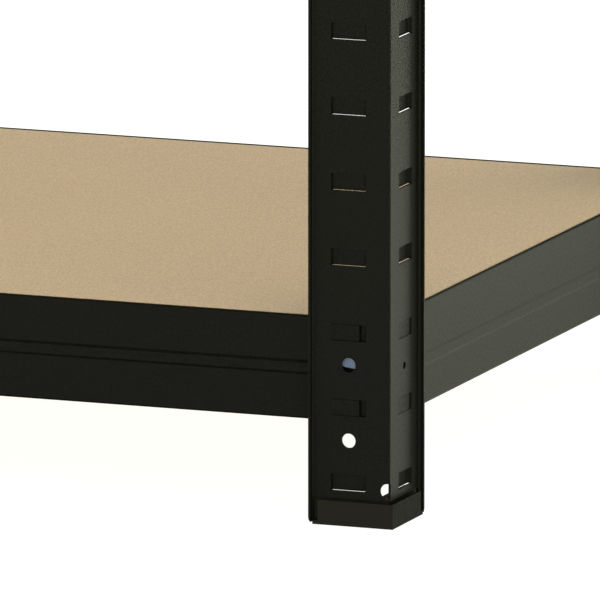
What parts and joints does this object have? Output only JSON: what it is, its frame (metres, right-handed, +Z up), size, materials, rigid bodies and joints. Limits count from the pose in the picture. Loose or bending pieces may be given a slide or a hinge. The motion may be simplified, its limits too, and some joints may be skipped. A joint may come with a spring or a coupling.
{
  "type": "boltless steel shelving unit",
  "caption": "Free-standing boltless shelving: slotted black steel angle posts, hook-in beams, loose fibre boards and plastic feet.",
  "frame": {"origin": "on the floor, under the middle of the unit", "axes": "+X along the width to the right, +Y to the back, +Z up"},
  "size_m": [0.9198, 0.4626, 1.8288],
  "materials": {
    "powder_coat": "satin black powder coat on roll-formed and punched steel",
    "joiner_coat": "black coated steel, hidden inside the posts",
    "foot_plastic": "moulded black plastic, matt",
    "fibre_board": "raw medium-density fibre board, fine grained",
    "zinc": "bluish zinc plate"
  },
  "bodies": {
    "frame": {"post_lower_front_right": "powder_coat", "post_upper_front_right": "powder_coat", "post_lower_rear_right": "powder_coat", "post_upper_rear_right": "powder_coat", "post_lower_rear_left": "powder_coat", "post_upper_rear_left": "powder_coat", "post_lower_front_left": "powder_coat", "post_upper_front_left": "powder_coat", "post_joiner_front_right": "joiner_coat", "post_joiner_rear_right": "joiner_coat", "post_joiner_rear_left": "joiner_coat", "post_joiner_front_left": "joiner_coat", "foot_front_right": "foot_plastic", "foot_rear_right": "foot_plastic", "foot_rear_left": "foot_plastic", "foot_front_left": "foot_plastic", "beam_front_1": "powder_coat", "beam_right_1": "powder_coat", "beam_rear_1": "powder_coat", "beam_left_1": "powder_coat", "beam_front_2": "powder_coat", "beam_right_2": "powder_coat", "beam_rear_2": "powder_coat", "beam_left_2": "powder_coat", "beam_front_3": "powder_coat", "beam_right_3": "powder_coat", "beam_rear_3": "powder_coat", "beam_left_3": "powder_coat", "beam_front_4": "powder_coat", "beam_right_4": "powder_coat", "beam_rear_4": "powder_coat", "beam_left_4": "powder_coat", "beam_front_5": "powder_coat", "beam_right_5": "powder_coat", "beam_rear_5": "powder_coat", "beam_left_5": "powder_coat", "locking_stud_front_right": "zinc", "locking_stud_rear_right": "zinc", "locking_stud_rear_left": "zinc", "locking_stud_front_left": "zinc"},
    "shelf_1": {"board_1": "fibre_board"},
    "shelf_2": {"board_2": "fibre_board"},
    "shelf_3": {"board_3": "fibre_board"},
    "shelf_4": {"board_4": "fibre_board"},
    "shelf_5": {"board_5": "fibre_board"}
  },
  "joints": [
    {"name": "board_1_lift", "type": "slide", "parent": "frame", "child": "shelf_1", "axis": [0, 0, 1], "range_m": [0, 0.12]},
    {"name": "board_2_lift", "type": "slide", "parent": "frame", "child": "shelf_2", "axis": [0, 0, 1], "range_m": [0, 0.12]},
    {"name": "board_3_lift", "type": "slide", "parent": "frame", "child": "shelf_3", "axis": [0, 0, 1], "range_m": [0, 0.12]},
    {"name": "board_4_lift", "type": "slide", "parent": "frame", "child": "shelf_4", "axis": [0, 0, 1], "range_m": [0, 0.12]},
    {"name": "board_5_lift", "type": "slide", "parent": "frame", "child": "shelf_5", "axis": [0, 0, 1], "range_m": [0, 0.12]}
  ]
}
